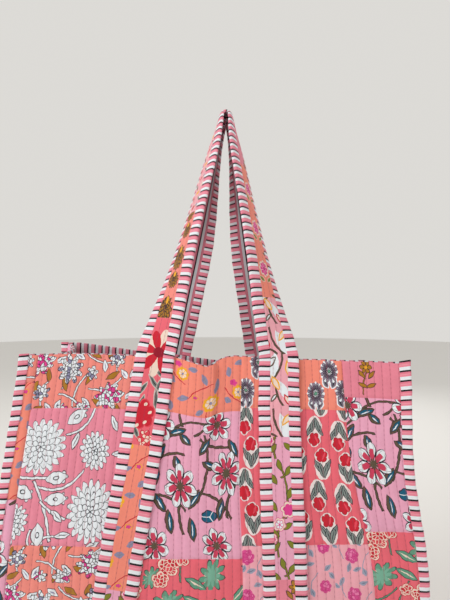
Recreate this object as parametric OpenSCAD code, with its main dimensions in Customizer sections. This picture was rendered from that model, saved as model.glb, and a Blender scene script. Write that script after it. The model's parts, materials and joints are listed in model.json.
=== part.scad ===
// Quilted patchwork tote bag, hanging by its two straps.
// Origin: the top of the hook's prong, where the straps rest. +X runs across the bag,
// the front faces -Y, the wall side is +Y, and +Z is up.

/* [Bag] */
// Width of the front and back panels at the base
bag_w = 452; // [420:2:480]
// Width across the mouth, where the gussets draw the corners in
mouth_w = 424; // [400:2:440]
// Height of the front and back panels along the cloth
bag_h = 382; // [340:2:420]
// Distance from the hook forward to the front panel at the mouth
mouth_front = 116; // [110:1:125]
// Distance from the hook back to the back panel
back_set = 8; // [6:1:12]
// Height of the hook above the mouth
drop = 316; // [280:1:360]
// Sideways distance from the hook to the middle of the mouth
mouth_sway = -14; // [-16:1:-10]
// Sideways distance from the hook to the middle of the base
base_sway = -21; // [-24:1:-16]

/* [Cloth] */
// Thickness of the printed outer cloth
outer_t = 0.8; // [0.6:0.1:1]
// Thickness of the cotton wadding
wadding_t = 1.8; // [1.4:0.1:2.2]
// Thickness of the inner lining cloth
lining_t = 0.8; // [0.6:0.1:1]
// Width of the striped binding on the bag's seams
seam_w = 10; // [9:0.5:14]
// Width of the striped facing inside the mouth
facing_w = 16; // [13:1:22]

/* [Straps] */
// Width of a strap
strap_w = 45; // [42:1:52]
// Width of the striped binding along a strap's edges
edge_w = 12; // [9:0.5:14]
// Spacing of a strap's legs at the mouth
leg_mouth_gap = 141; // [130:1:146]
// Spacing of a strap's legs at the base
leg_base_gap = 188; // [176:1:196]
// Half the width of the hook's prong under the straps
prong_r = 4; // [3:0.5:6]

/* [Hidden] */

panel_t = outer_t + wadding_t + lining_t;
fold_t = 0.7;         // thickness of a folded binding or facing
gap = 0.15;           // clearance between a binding and what it wraps
seam_gap = 0.5;       // clearance between panels that a seam joins
hang = 0.985;         // height that a hanging panel keeps for each mm of cloth
lean_out = 42;        // how far the front panel leans out on its way down
belly = 9;            // how far a panel bulges in its middle
corner_left = 13;     // how far the mouth's left corner stands forward
corner_right = 32;    // how far the mouth's right corner stands forward
mouth_fold = 22;      // how far a gusset folds inwards at the mouth
base_sag = 5;         // how far the base sags in its middle

// Places down the cloth, as shares of the panel's height.
t_facing = facing_w / bag_h;
t_base = (bag_h - seam_w) / bag_h;
t_foot = (bag_h - fold_t - gap) / bag_h;
rows = [0, t_facing, 0.15, 0.28, 0.42, 0.56, 0.7, 0.84, t_base, t_foot];
gusset_foot = t_base - (panel_t + base_sag + seam_gap) / bag_h;
gusset_rows = [0, t_facing, 0.15, 0.28, 0.42, 0.56, 0.7, 0.84, gusset_foot];

function mix(a, b, k) = a + (b - a) * k;
function clamp01(k) = max(0, min(1, k));
function smooth(k) = clamp01(k) * clamp01(k) * (3 - 2 * clamp01(k));

// ---- Shape of the hanging bag. t runs from 0 at the mouth to 1 at the foot,
// and a runs from -1 at the panel's left edge to 1 at its right edge.

function height_at(t) = -drop - hang * bag_h * t;
function half_at(t) = mix(mouth_w, bag_w, 1 - pow(1 - t, 2)) / 2;
function sway_at(t) = mix(mouth_sway, base_sway, t);
function x_at(a, t) = sway_at(t) + a * half_at(t);
function share_of(x, t) = (x - sway_at(t)) / half_at(t);
function bulge(a, t) = 4 * belly * (1 - a * a) * t * (1 - t);
function lean(t) = lean_out * (3 - 2.08 * t) * t;
function corner(a, t) =
    (a < 0 ? corner_left : corner_right)
    * pow(clamp01((abs(a) - 0.5) / 0.5), 2) * pow(1 - t, 2);
function front_y(a, t) = -(mouth_front + corner(a, t) + lean(t) + bulge(a, t));
function back_y(a, t) = back_set + 0.3 * bulge(a, t);
function panel_y(side, a, t) = side < 0 ? front_y(a, t) : back_y(a, t);

// ---- Solids.

// The solid between two matching grids of points, a outside and b inside.
module slab(a, b) {
    ni = len(a[0]);
    n = len(a) * ni;
    last = len(a) - 1;
    end = ni - 1;
    skin = [for (j = [0:last - 1]) for (i = [0:end - 1]) each [
        [j * ni + i, j * ni + i + 1, (j + 1) * ni + i + 1],
        [j * ni + i, (j + 1) * ni + i + 1, (j + 1) * ni + i]
    ]];
    lining = [for (f = skin) [f[2] + n, f[1] + n, f[0] + n]];
    top = [for (i = [0:end - 1]) each [
        [i + n, i + 1 + n, i + 1],
        [i + n, i + 1, i]
    ]];
    foot = [for (i = [0:end - 1]) let (k = last * ni + i) each [
        [k, k + 1, k + 1 + n],
        [k, k + 1 + n, k + n]
    ]];
    left = [for (j = [0:last - 1]) let (k = j * ni) each [
        [k, k + ni, k + ni + n],
        [k, k + ni + n, k + n]
    ]];
    right = [for (j = [0:last - 1]) let (k = j * ni + end) each [
        [k + n, k + ni + n, k + ni],
        [k + n, k + ni, k]
    ]];
    polyhedron(
        points = concat([for (r = a) each r], [for (r = b) each r]),
        faces = concat(skin, lining, top, foot, left, right),
        convexity = 8
    );
}

// The solid through a row of rings that follow one section, closed by caps at its ends.
// Facing quads are split along the same diagonal, so that touching layers stay apart.
module ringed(rings, section, caps, slant = 1) {
    n = len(section);
    last = len(rings) - 1;
    sides = [for (j = [0:last - 1]) for (i = [0:n - 1])
        let (k = (i + 1) % n, a = j * n + i, b = j * n + k, c = a + n, d = b + n)
        each slant * (section[k][0] - section[i][0]) >= 0
            ? [[a, b, d], [a, d, c]]
            : [[a, b, c], [b, d, c]]];
    polyhedron(
        points = [for (r = rings) each r],
        faces = concat(sides, [for (c = caps) [for (i = [len(c) - 1:-1:0]) c[i]]],
                       [for (c = caps) [for (i = c) i + last * n]]),
        convexity = 8
    );
}

// Sections are lists of [distance across, height], and these are their caps.
strip_caps = [[0, 1, 2], [0, 2, 7], [7, 2, 3], [7, 3, 6], [6, 3, 4], [6, 4, 5]];
fold_caps = [[0, 1, 2], [0, 2, 3], [0, 3, 4], [0, 4, 7], [4, 5, 6], [4, 6, 7]];
function strip(half, in, low, high) =
    [[-half, low], [-half, high], [-in, high], [in, high],
     [half, high], [half, low], [in, low], [-in, low]];

// A strip folded round an edge. hand is 1 for the far edge and -1 for the near one.
function folded(edge, in, low, high, hand) =
    let (points = [
        [edge, low], [in, low], [in, low + fold_t], [edge - fold_t, low + fold_t],
        [edge - fold_t, high - fold_t], [in, high - fold_t], [in, high], [edge, high]
    ])
    hand > 0 ? points : [for (i = [3, 2, 1, 0, 7, 6, 5, 4]) [-points[i][0], points[i][1]]];

// ---- Front and back panels. side is -1 at the front and 1 at the back.

// Where the patchwork's columns meet.
function seam_at(k, t) = [-0.91, -0.33, 0.16, mix(0.63, 0.74, smooth(t / 0.7))][k];

// The lines down the cloth that every layer of a panel is built on.
function lines_at(t) =
    let (
        edge = 1 - (fold_t + gap) / half_at(t),
        bound = 1 - seam_w / half_at(t),
        s = [for (k = [0:3]) seam_at(k, t)]
    )
    [-edge, -bound, s[0], mix(s[0], s[1], 0.5), s[1], mix(s[1], s[2], 0.5), s[2],
     mix(s[2], s[3], 0.7), s[3], bound, edge];
column_lines = [0, 2, 4, 6, 8, 10];

function panel_point(side, a, t, depth) =
    [x_at(a, t), panel_y(side, a, t) - side * depth, height_at(t)];
function panel_grid(side, depth, first, last) =
    [for (t = rows)
        let (shares = lines_at(t))
        [for (i = [first:last]) panel_point(side, shares[i], t, depth)]];

module walls(side, outer, inner) {
    if (side < 0) slab(outer, inner);
    else slab(inner, outer);
}

module panel_layer(side, depth, thick, first = 0, last = 10) {
    walls(side, panel_grid(side, depth, first, last),
          panel_grid(side, depth + thick, first, last));
}

module patches(side, column) {
    color(["salmon", "lightpink", "pink", "lightcoral", "hotpink"][column - 1])
        panel_layer(side, 0, outer_t, column_lines[column - 1], column_lines[column]);
}

module panel_wadding(side) {
    color("ivory") panel_layer(side, outer_t, wadding_t);
}

module panel_lining(side) {
    color("mistyrose") panel_layer(side, outer_t + wadding_t, lining_t);
}

// A facing runs from the first patch seam to just short of the right binding.
facing_end = 8;      // distance from the right binding to the end of a facing
function facing_grid(side, depth) =
    [for (t = [0, t_facing])
        let (shares = lines_at(t), end = 1 - (seam_w + facing_end) / half_at(t))
        [for (a = concat([for (i = [2:8]) shares[i]], [end]))
            panel_point(side, a, t, depth)]];

module panel_facing(side) {
    color("palevioletred")
        walls(side, facing_grid(side, panel_t + gap), facing_grid(side, panel_t + gap + fold_t));
}

// ---- Gussets. hand is -1 at the left and 1 at the right.

gusset_lines = [0, 0.07, 0.21, 0.36, 0.5, 0.64, 0.79, 0.93, 1];
inset = panel_t + fold_t + 2 * gap + seam_gap;
function gusset_fold(t) = mouth_fold * pow(clamp01(1 - t / 0.65), 1.3);
function gusset_point(hand, depth, g, t) =
    let (a = hand * (1 - (seam_w + depth) / half_at(t)))
    [x_at(a, t) - hand * gusset_fold(t) * (1 - pow(2 * g - 1, 2)),
     mix(front_y(a, t) + inset, back_y(a, t) - inset, g), height_at(t)];
function gusset_grid(hand, depth, heights, first, last) =
    [for (t = heights)
        [for (i = [first:last]) gusset_point(hand, depth, gusset_lines[i], t)]];

module gusset_layer(hand, depth, thick, heights = gusset_rows, first = 0, last = 8) {
    outer = gusset_grid(hand, depth, heights, first, last);
    inner = gusset_grid(hand, depth + thick, heights, first, last);
    if (hand < 0) slab(inner, outer);
    else slab(outer, inner);
}

module gusset_outer(hand) {
    color("lightcoral") gusset_layer(hand, 0, outer_t);
}

module gusset_wadding(hand) {
    color("ivory") gusset_layer(hand, outer_t, wadding_t);
}

module gusset_lining(hand) {
    color("mistyrose") gusset_layer(hand, outer_t + wadding_t, lining_t);
}

// A gusset's facing stops short of the front and back facings.
module gusset_facing(hand) {
    color("palevioletred")
        gusset_layer(hand, panel_t + gap, fold_t, [0, t_facing], 1, 7);
}

// ---- Base.

base_columns = 8;
base_rows = 5;
function base_point(depth, i, j) =
    let (
        end = 1 - seam_w / half_at(t_base),
        a = mix(-end, end, i / base_columns),
        k = j / base_rows
    )
    [x_at(a, t_base),
     mix(front_y(a, t_base) + inset, back_y(a, t_base) - inset, k),
     height_at(t_base) + depth - base_sag * (1 - a * a) * 4 * k * (1 - k)];
function base_grid(depth) =
    [for (j = [0:base_rows]) [for (i = [0:base_columns]) base_point(depth, i, j)]];

module base_layer(depth, thick) {
    slab(base_grid(depth), base_grid(depth + thick));
}

module base_outer() {
    color("lightcoral") base_layer(0, outer_t);
}

module base_wadding() {
    color("ivory") base_layer(outer_t, wadding_t);
}

module base_lining() {
    color("mistyrose") base_layer(outer_t + wadding_t, lining_t);
}

// ---- Bindings on the bag's seams, folded round the panels' edges.

fold_low = -fold_t - gap;
fold_high = panel_t + fold_t + gap;

module side_binding(side, hand) {
    section = folded(0, -seam_w, fold_low, fold_high, 1);
    last = len(rows) - 1;
    rings = [for (i = side * hand > 0 ? [0:last] : [last:-1:0])
        let (t = rows[i])
        [for (p = section)
            let (a = hand * (1 + p[0] / half_at(t)))
            panel_point(side, a, t, p[1])]];
    color("palevioletred") ringed(rings, section, fold_caps, side);
}

// A foot binding runs between the two side bindings.
module base_binding(side) {
    steps = 10;
    trim = (seam_w + seam_gap) / half_at(1);
    section = folded(bag_h, bag_h - seam_w + seam_gap, fold_low, fold_high, 1);
    rings = [for (i = side > 0 ? [steps:-1:0] : [0:steps])
        let (a = mix(-1 + trim, 1 - trim, i / steps))
        [for (p = section) panel_point(side, a, p[0] / bag_h, p[1])]];
    color("palevioletred") ringed(rings, section, fold_caps);
}

// ---- Layers of a strap, measured from its back.

strap_face_t = 0.7;
strap_wadding_t = 1.4;
strap_lining_t = 0.7;
lining_low = fold_t + gap;
wadding_low = lining_low + strap_lining_t;
face_low = wadding_low + strap_wadding_t;
face_high = face_low + strap_face_t;
strap_t = face_high + gap + fold_t;
core_half = strap_w / 2 - fold_t - gap;
edge_in = strap_w / 2 - edge_w;

// ---- Free loops of the straps. side is -1 for the front strap and 1 for the back one,
// and hand is -1 for a strap's left leg and 1 for its right leg. A strap climbs on the
// left, crosses the hook on its side and comes down on the right.

hinge_gap = 0.35;     // clearance between a loop's end and the sewn leg
sew_gap = 0.35;       // clearance between a sewn leg and its panel
crown_share = 0.8;    // share of its width that a strap keeps where it is cupped
crown_shift = 9;      // how far each crown sits from the middle of the hook
crown_angle = 80;     // half of the angle that a crown bends through
twist_length = 0.15;  // share of a leg over which a strap opens to its full width
mouth_middle = -10.5; // sideways place of the front strap's middle at the mouth
back_inset = 8;       // how much nearer the back strap's legs stand
base_middle = -36;    // sideways place of the front strap's middle at the base
leg_shares = [1, 0.965, 0.92, 0.85, 0.77, 0.68, 0.58, 0.48, 0.38, 0.29, 0.21, 0.14, 0.08,
              0.03];

function leg_x(side, hand, t) =
    mix(mouth_middle, base_middle, t)
    + hand * (mix(leg_mouth_gap, leg_base_gap, smooth(t)) / 2
              - (side > 0 ? back_inset * (1 - t) : 0));
function sewn_y(side, x, t) = panel_y(side, share_of(x, t), t) + side * sew_gap;
function crown_radius(side) = prong_r + (side < 0 ? strap_t + 1 : 0);
function twist_at(side, s) =
    side < 0 ? 66 * (1 - pow(s, 3.6)) + 24 * exp(-s / 0.12) : 90 * (1 - smooth(s / 0.8));

// A station is [place, across, out, share of the width].
function leg_station(side, hand, s) =
    let (
        r = crown_radius(side),
        foot = leg_x(side, hand, 0),
        turn = twist_at(side, s)
    )
    [[mix(hand * r * sin(crown_angle), foot, s),
      mix(side * crown_shift, sewn_y(side, foot, 0), s),
      mix(-prong_r + r * cos(crown_angle), -drop + hinge_gap, s)],
     [-hand * cos(turn), side * sin(turn), 0],
     [hand * sin(turn), side * cos(turn), 0],
     mix(crown_share, 1, clamp01(s / twist_length))];
function crown_station(side, angle) =
    let (r = crown_radius(side))
    [[r * sin(angle), side * crown_shift, -prong_r + r * cos(angle)], [0, side, 0],
     [sin(angle), 0, cos(angle)], crown_share];
function loop_stations(side) =
    let (n = len(leg_shares) - 1, list = concat(
        [for (s = leg_shares) leg_station(side, -1, s)],
        [for (a = [-crown_angle:20:crown_angle]) crown_station(side, a)],
        [for (i = [n:-1:0]) leg_station(side, 1, leg_shares[i])]))
    side > 0 ? list : [for (i = [len(list) - 1:-1:0]) list[i]];
function loop_rings(side, section) =
    [for (s = loop_stations(side))
        [for (p = section) s[0] + s[1] * p[0] * s[3] + s[2] * p[1]]];

module loop_layer(side, low, high) {
    section = strip(core_half, edge_in, low, high);
    ringed(loop_rings(side, section), section, strip_caps);
}

module loop_lining(side) {
    color("rosybrown") loop_layer(side, lining_low, wadding_low);
}

module loop_wadding(side) {
    color("ivory") loop_layer(side, wadding_low, face_low);
}

module loop_face(side) {
    color("salmon") loop_layer(side, face_low, face_high);
}

module loop_binding(side, edge) {
    section = folded(strap_w / 2, edge_in, 0, strap_t, edge);
    color("palevioletred") ringed(loop_rings(side, section), section, fold_caps);
}

// ---- Legs of the straps, sewn to the panels' outer faces.

function sewn_rings(side, hand, section) =
    let (n = len(rows) - 2, order = side * hand > 0 ? [0:n] : [n:-1:0])
    [for (i = order)
        let (t = i < n ? rows[i] : t_base - 2 * seam_gap / bag_h)
        [for (p = section)
            let (x = leg_x(side, hand, t) - hand * p[0])
            [x, sewn_y(side, x, t) + side * p[1], height_at(t)]]];

module leg_band(side, hand) {
    section = strip(core_half, edge_in, lining_low, face_high);
    color("salmon") ringed(sewn_rings(side, hand, section), section, strip_caps);
}

module leg_binding(side, hand, edge) {
    section = folded(strap_w / 2, edge_in, 0, strap_t, edge);
    ringed(sewn_rings(side, hand, section), section, fold_caps);
}

module leg_bindings(side, hand) {
    color("palevioletred")
        for (edge = [-1, 1])
            leg_binding(side, hand, edge);
}

patches(-1, 1);  // front_patches_1
patches(-1, 2);  // front_patches_2
patches(-1, 3);  // front_patches_3
patches(-1, 4);  // front_patches_4
patches(-1, 5);  // front_patches_5
panel_wadding(-1);  // front_wadding
panel_lining(-1);  // front_lining
panel_facing(-1);  // front_facing
patches(1, 1);  // back_patches_1
patches(1, 2);  // back_patches_2
patches(1, 3);  // back_patches_3
patches(1, 4);  // back_patches_4
patches(1, 5);  // back_patches_5
panel_wadding(1);  // back_wadding
panel_lining(1);  // back_lining
panel_facing(1);  // back_facing
gusset_outer(-1);  // left_gusset_outer
gusset_wadding(-1);  // left_gusset_wadding
gusset_lining(-1);  // left_gusset_lining
gusset_facing(-1);  // left_gusset_facing
gusset_outer(1);  // right_gusset_outer
gusset_wadding(1);  // right_gusset_wadding
gusset_lining(1);  // right_gusset_lining
gusset_facing(1);  // right_gusset_facing
base_outer();
base_wadding();
base_lining();
side_binding(-1, -1);  // front_left_binding
side_binding(-1, 1);  // front_right_binding
base_binding(-1);  // front_base_binding
side_binding(1, -1);  // back_left_binding
side_binding(1, 1);  // back_right_binding
base_binding(1);  // back_base_binding
loop_face(-1);  // front_strap_face
loop_wadding(-1);  // front_strap_wadding
loop_lining(-1);  // front_strap_lining
loop_binding(-1, -1);  // front_strap_outer_binding
loop_binding(-1, 1);  // front_strap_inner_binding
loop_face(1);  // back_strap_face
loop_wadding(1);  // back_strap_wadding
loop_lining(1);  // back_strap_lining
loop_binding(1, -1);  // back_strap_outer_binding
loop_binding(1, 1);  // back_strap_inner_binding
leg_band(-1, -1);  // front_left_leg_band
leg_bindings(-1, -1);  // front_left_leg_bindings
leg_band(-1, 1);  // front_right_leg_band
leg_bindings(-1, 1);  // front_right_leg_bindings
leg_band(1, -1);  // back_left_leg_band
leg_bindings(1, -1);  // back_left_leg_bindings
leg_band(1, 1);  // back_right_leg_band
leg_bindings(1, 1);  // back_right_leg_bindings
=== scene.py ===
"""The looks of a quilted patchwork tote bag, hanging by its two straps."""

import json
import math

import bpy
import numpy as np
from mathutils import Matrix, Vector


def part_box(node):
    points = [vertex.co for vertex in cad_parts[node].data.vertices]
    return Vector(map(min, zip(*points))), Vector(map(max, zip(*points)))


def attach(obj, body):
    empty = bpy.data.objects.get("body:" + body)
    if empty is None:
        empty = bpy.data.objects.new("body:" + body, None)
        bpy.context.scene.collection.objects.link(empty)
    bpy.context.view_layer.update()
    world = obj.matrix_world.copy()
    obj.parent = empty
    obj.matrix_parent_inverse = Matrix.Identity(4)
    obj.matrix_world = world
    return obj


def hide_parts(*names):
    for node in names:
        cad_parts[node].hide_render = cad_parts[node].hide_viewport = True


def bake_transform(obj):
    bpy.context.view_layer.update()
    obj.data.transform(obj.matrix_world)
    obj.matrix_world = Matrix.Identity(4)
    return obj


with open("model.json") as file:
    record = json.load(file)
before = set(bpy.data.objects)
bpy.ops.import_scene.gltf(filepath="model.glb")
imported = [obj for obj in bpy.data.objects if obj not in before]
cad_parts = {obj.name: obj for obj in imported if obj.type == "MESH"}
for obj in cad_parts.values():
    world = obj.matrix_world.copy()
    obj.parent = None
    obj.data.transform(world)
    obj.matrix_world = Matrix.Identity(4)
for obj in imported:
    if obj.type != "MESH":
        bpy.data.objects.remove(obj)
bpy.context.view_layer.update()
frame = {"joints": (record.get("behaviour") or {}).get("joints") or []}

MM = 0.001

# ---- Driving sizes, in millimetres, worked out from the frame ----

HINGES = {j["child"]: Vector(j["pos_m"]) / MM for j in frame["joints"]}
MOUTH_Z = HINGES["front_strap"].z
FOOT_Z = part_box("front_base_binding")[0].z / MM
HANG = 0.985  # a panel's height as a share of its cloth's
BAG_H = (MOUTH_Z - FOOT_Z) / HANG
BAG_W = 452
BACK_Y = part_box("back_left_binding")[1].y / MM - 0.9
FRONT_Y = HINGES["front_strap"].y + 5  # the front panel, under the strap legs
SEAM_W = 10  # width of the binding on a seam
PANEL_T = 3.4  # thickness of the three layers of a panel
QUILT = 8.6  # spacing of the quilting lines
STITCH = 5.0  # spacing of the stitches along a line
STRAP_W = 45
STRIPE = 10.5  # repeat of the striped cloth


def mix(a, b, k):
    return a + (b - a) * k


def smooth(k):
    k = np.clip(k, 0, 1)
    return k * k * (3 - 2 * k)


def unit(vectors):
    return vectors / np.linalg.norm(vectors, axis=-1, keepdims=True)


def chance(index, salt=0.0):
    """A fixed pseudo-random number from 0 to 1 for each index."""
    wild = np.sin(np.asarray(index) * 12.9898 + salt * 78.233) * 43758.5453
    return wild - np.floor(wild)


# ---- Camera, level in front of the bag as in the photograph, in metres ----

LENS = 27.06
CAMERA_PLACE = (-0.0014, -0.630, -0.253)


def make_camera():
    data = bpy.data.cameras.new("camera")
    data.lens = LENS
    camera = bpy.data.objects.new("camera", data)
    camera.location = CAMERA_PLACE
    camera.rotation_euler = (math.radians(90), 0, 0)
    bpy.context.scene.collection.objects.link(camera)
    bpy.context.scene.camera = camera


make_camera()

# ---- The shape of the hanging bag ----
# a runs across a panel from -1 at its left edge to 1 at its right edge, and v is the
# distance down the cloth from the mouth, in millimetres.

# How far the top edges stand above the mouth's height, from left to right.
FRONT_LIFT = [(-1, 1), (-0.73, 2.5), (-0.42, 0), (-0.2, -1.5), (-0.02, -11.5), (0.02, -8),
              (0.06, -3), (0.12, -1), (0.3, -3), (0.46, -5), (0.95, -5.5), (1, -2.5)]
BACK_LIFT = [(-1, 3), (-0.89, 3), (-0.52, -8), (-0.24, -14), (0, -21), (0.3, -23), (1, -23)]
PLEAT_AT = 0.012
LEFT_X = -230.5  # the mouth's left and right edges
RIGHT_X = 197
CORNER_OUT = (13, 32)  # how far the front's left and right corners flare
FRONT_LEAN = 42
FRONT_BULGE = 36
BACK_BULGE = 11
FOLD_IN = 20  # how far in a gusset's middle folds at the mouth
BASE_SAG = 5
FLANGE_IN = PANEL_T + 0.6  # from a panel's outside to its gusset's or base's
INSET = 1 - 2 * SEAM_W / BAG_W  # where a flange is, as a share of the half width


def stacked(x, y, z):
    return np.stack(np.broadcast_arrays(x, y, z), -1)


def left_edge(t):
    return LEFT_X - 24 * smooth(t / 0.9)


def right_edge(t):
    return RIGHT_X + 18 * smooth(t) - 6 * np.sin(math.pi * np.clip(t / 0.6, 0, 1)) ** 2


def lift(stops, a, v):
    return np.interp(a, *zip(*stops)) * np.exp(-(v / 75) ** 2)


def front_out(a, v):
    """How far the front panel stands in front of its mouth line."""
    t = v / BAG_H
    corner = np.where(a < 0, *CORNER_OUT) * np.clip((np.abs(a) - 0.5) / 0.5, 0, 1) ** 2
    lean = FRONT_LEAN * (3 - 2.08 * t) * t
    bulge = FRONT_BULGE * (1 - a * a) * t * (1 - t)
    fade = np.exp(-(v / 90) ** 2)
    pleat = -6 * smooth((a - PLEAT_AT) / 0.012) * np.exp(-((a - PLEAT_AT) / 0.2) ** 2)
    sag = 9 * np.exp(-((a + 0.06) / 0.12) ** 2)
    wave = 1.6 * np.sin(a * 9.5 + 0.8) + 1.1 * np.sin(a * 17 + 2.0)
    return corner * (1 - t) ** 2 + lean + bulge + fade * (pleat + sag + wave)


def back_out(a, v):
    """How far the back panel stands behind its mouth line."""
    t = v / BAG_H
    sag = np.exp(-((a - 0.06) / 0.22) ** 2) * np.exp(-(v / 75) ** 2)
    wave = (1.5 * np.sin(a * 8 + 1.0) + np.sin(a * 15)) * np.exp(-(v / 90) ** 2)
    return BACK_BULGE * (1 - a * a) * t * (1 - t) + wave - 5 * sag


def panel_at(side, a, v):
    """Where a panel is. side is -1 for the front panel and 1 for the back one."""
    t = v / BAG_H
    x = mix(left_edge(t), right_edge(t), (a + 1) / 2)
    if side < 0:
        y = FRONT_Y - front_out(a, v)
        top = MOUTH_Z + lift(FRONT_LIFT, a, v)
    else:
        y = BACK_Y + back_out(a, v)
        top = MOUTH_Z - 1 + lift(BACK_LIFT, a, v)
    return stacked(x, y, top - HANG * v)


def between(a, v, g):
    """Straight across from the front panel's flange (g = 0) to the back panel's (g = 1)."""
    inwards = np.array([0, FLANGE_IN, 0])
    return mix(panel_at(-1, a, v) + inwards, panel_at(1, a, v) - inwards, g[..., None])


def gusset_at(hand, g, v):
    """Where a gusset is. hand is -1 for the left one and 1 for the right one."""
    across = 1 - (2 * g - 1) ** 2
    fold = FOLD_IN * np.clip(1 - v / BAG_H / 0.65, 0, 1) ** 1.3
    ripple = 1.5 * np.sin(g * 11 + hand) * np.exp(-(v / 80) ** 2)
    dip = 5 * across * np.exp(-(v / 50) ** 2)
    return between(hand * INSET, v, g) - stacked(hand * (fold + ripple) * across, 0, dip)


def base_at(a, g):
    sag = BASE_SAG * (1 - a * a) * 4 * g * (1 - g)
    return between(a * INSET, BAG_H - SEAM_W, g) - stacked(0, 0, sag)


def with_normals(shape, p, q, step=(0.002, 0.5)):
    """Points of a surface and its normals, from two parameters."""
    along = shape(p + step[0], q) - shape(p - step[0], q)
    down = shape(p, q + step[1]) - shape(p, q - step[1])
    return shape(p, q), unit(np.cross(along, down))


def on_panel(side, a, v):
    """Points of a panel and its normals, which point out of the bag."""
    points, normal = with_normals(lambda p, q: panel_at(side, p, q), a, v)
    return points, normal * side


# ---- Quilting ----

SEAM_DEPTH = 1.0
SEAM_REACH = 1.3
LINING_GAP = 0.3  # how much nearer than its own plane the lining lies, before it puffs
LINING_PUFF = 0.4  # the lining's quilting, as a share of the outer cloth's


def quilting(u, v, depth=1.1):
    """The height of quilted cloth, with lines of stitches running along v."""
    line = u / QUILT
    k = line - np.floor(line)
    puff = np.sin(math.pi * k) ** 0.6
    near = np.exp(-((np.minimum(k, 1 - k) * QUILT) / 1.1) ** 2)
    row = np.floor(line + 0.5)
    stitches = 0.5 + 0.5 * np.cos(2 * math.pi * (v / STITCH + chance(row, 1)))
    channel = np.floor(line)
    short = np.sin(2 * math.pi * v / (7 + 3 * chance(channel, 2)) + 9 * chance(channel, 3))
    long = np.sin(2 * math.pi * v / (17 + 6 * chance(channel, 4)) + 5 * chance(channel, 5))
    pucker = 0.22 * (short + 0.7 * long) * np.sin(math.pi * k)
    return depth * (puff + 0.3 * near * stitches + pucker)


def lining_depth(u, v):
    """How far the lining, quilted with the outer cloth, lies behind it."""
    return PANEL_T - LINING_GAP + LINING_PUFF * quilting(u, v)


def seam_valley(distance):
    """A seam pulls the cloth down on both sides of it."""
    return -SEAM_DEPTH * np.exp(-(distance / SEAM_REACH) ** 2)


# ---- Meshes ----

def grid_faces(rows, columns, flip=False):
    index = np.arange(rows * columns).reshape(rows, columns)
    corners = [index[:-1, :-1], index[:-1, 1:], index[1:, 1:], index[1:, :-1]]
    if flip:
        corners.reverse()
    return np.stack([c.ravel() for c in corners], -1)


def make_piece(name, points, sewing, material, origin=(0, 0), flip=False):
    """A smooth sheet through a grid of points. sewing gives the flat cloth's millimetres,
    and origin is the place on it where the print starts."""
    rows, columns = points.shape[:2]
    faces = grid_faces(rows, columns, flip)
    mesh = bpy.data.meshes.new(name)
    mesh.vertices.add(rows * columns)
    mesh.vertices.foreach_set("co", (points * MM).astype(np.float32).ravel())
    mesh.loops.add(faces.size)
    mesh.loops.foreach_set("vertex_index", faces.ravel())
    mesh.polygons.add(len(faces))
    mesh.polygons.foreach_set("loop_start", np.arange(0, faces.size, 4))
    mesh.update(calc_edges=True)
    mesh.validate()
    mesh.polygons.foreach_set("use_smooth", np.ones(len(faces), bool))
    for layer, shift in (("cloth", origin), ("sewing", (0, 0))):
        places = sewing.reshape(-1, 2)[faces.ravel()] - np.array(shift)
        mesh.uv_layers.new(name=layer).data.foreach_set("uv", places.astype(np.float32).ravel())
    mesh.materials.append(material)
    piece = bpy.data.objects.new(name, mesh)
    bpy.context.scene.collection.objects.link(piece)
    return piece


def spaced(low, high, step):
    return np.linspace(low, high, max(2, int(round((high - low) / step)) + 1))


# ---- Colours, from 0 to 255 ----

CORAL = (240, 140, 128)
ORANGE = (244, 140, 120)
RED_CORAL = (234, 104, 118)
ROSE_PINK = (232, 138, 158)
VINE_PINK = (234, 166, 192)
PALE_PINK = (238, 168, 180)
PLAIN_PINK = (230, 134, 152)
WHITE = (232, 237, 242)
CREAM = (240, 216, 200)
BLACK = (24, 20, 26)
INK = (30, 36, 46)
BROWN = (58, 42, 38)
TEAL = (14, 92, 122)
OLIVE = (92, 80, 62)
MOSS = (126, 128, 36)
OCHRE = (170, 118, 34)
GOLD = (240, 172, 36)
GREEN = (96, 154, 128)
GREY = (132, 134, 146)
LILAC = (142, 140, 170)
MAGENTA = (222, 62, 142)
RED = (204, 30, 50)
LIGHT_RED = (226, 70, 84)
ROSE = (214, 76, 142)
# a darker pink for the shade painted along the quilting lines and at the stitches
PAINTED_SHADE_PINK = (150, 62, 80)
CELL = 3.6  # size of the cells that fill a ragged flower


def linear(colour):
    """A colour as Blender's shaders take it."""
    parts = [c / 255 for c in colour]
    return [c / 12.92 if c <= 0.04045 else ((c + 0.055) / 1.055) ** 2.4 for c in parts] + [1]


# ---- Printed cloth ----

STRIPES = [(1.9, WHITE), (5.6, (234, 134, 154)), (7.4, (238, 152, 168)), (8.5, (230, 126, 148))]
YARNS = [((2.6, 0.22, 1), 0.05), ((0.22, 2.6, 1), 0.05), ((0.03, 0.03, 1), 0.07)]
WEAVE = 9.0  # radians of the weave's wave in a millimetre
ROUGH = 0.78  # the least roughness of the cotton


def operator(name):
    """A method that turns a sum with a field into a shader node."""
    return lambda field, *others: field.cloth.math(name, field, *others)


class Field:
    """A number that varies over a cloth, for sums and comparisons."""

    __add__ = operator("ADD")
    __sub__ = operator("SUBTRACT")
    __mul__ = operator("MULTIPLY")
    __truediv__ = operator("DIVIDE")
    __pow__ = operator("POWER")
    __gt__ = operator("GREATER_THAN")
    __lt__ = operator("LESS_THAN")
    __abs__ = operator("ABSOLUTE")

    def __init__(self, cloth, socket):
        self.cloth = cloth
        self.socket = socket

    def __rsub__(self, other):
        return self.cloth.math("SUBTRACT", other, self)


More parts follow.
